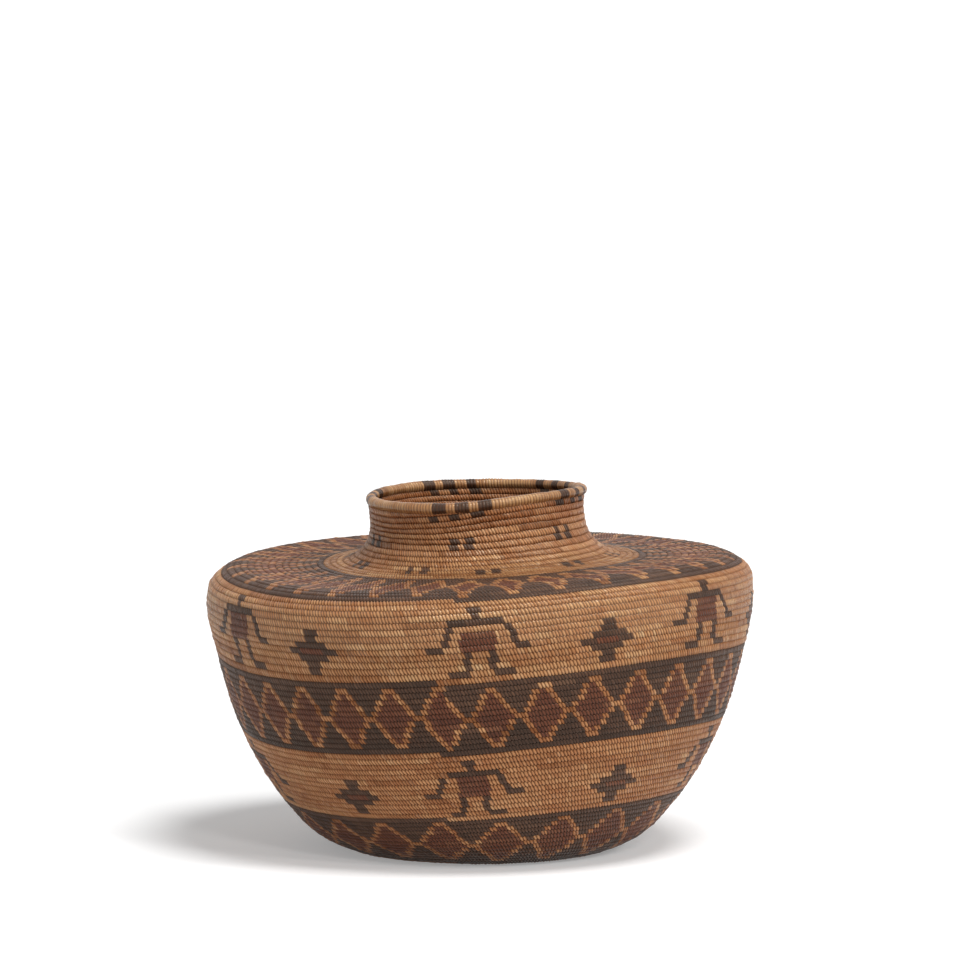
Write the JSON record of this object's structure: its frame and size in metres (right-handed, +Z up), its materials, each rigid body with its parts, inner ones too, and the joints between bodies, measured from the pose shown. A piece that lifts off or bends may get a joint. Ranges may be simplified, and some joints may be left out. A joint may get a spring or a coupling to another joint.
{
  "type": "bottleneck basket",
  "caption": "Coiled bottleneck basket: a deep round bowl with a broad flat shoulder, a short upright neck and a thick rim coil, with bands of diamonds, figures and crosses.",
  "frame": {"origin": "the middle of the flat underside, on the surface that the basket stands on", "axes": "+Z up out of the mouth; -Y towards the side that the picture shows; +X to that view's right, where the rounds stand higher"},
  "size_m": [0.3984, 0.3984, 0.2668],
  "materials": {
    "plain_sewing": "split, peeled plant strands of a warm tan sewn over a grass bundle, satin, ribbed by the rounds",
    "dark_sewing": "dark brown-black plant strands sewn over a grass bundle, with rust-red strands in the diamonds, satin",
    "rim_sewing": "tan plant strands with blocks of dark ones, worn smooth by handling, satin"
  },
  "bodies": {
    "root": {"start_coil": "plain_sewing", "base_inner_rounds": "plain_sewing", "base_outer_rounds": "plain_sewing", "heel_rounds": "dark_sewing", "foot_diamond_rounds": "dark_sewing", "lower_leg_rounds": "plain_sewing", "lower_arm_rounds": "plain_sewing", "wall_diamond_lower_rounds": "dark_sewing", "wall_diamond_upper_rounds": "dark_sewing", "upper_leg_rounds": "plain_sewing", "upper_arm_rounds": "plain_sewing", "shoulder_turn_rounds": "plain_sewing", "shoulder_diamond_outer_rounds": "dark_sewing", "shoulder_diamond_inner_rounds": "dark_sewing", "neck_foot_rounds": "plain_sewing", "neck_flare_rounds": "plain_sewing", "neck_tick_rounds": "plain_sewing", "neck_plain_rounds": "plain_sewing", "rim_checker_round": "plain_sewing", "rim_coil": "rim_sewing"}
  },
  "joints": []
}
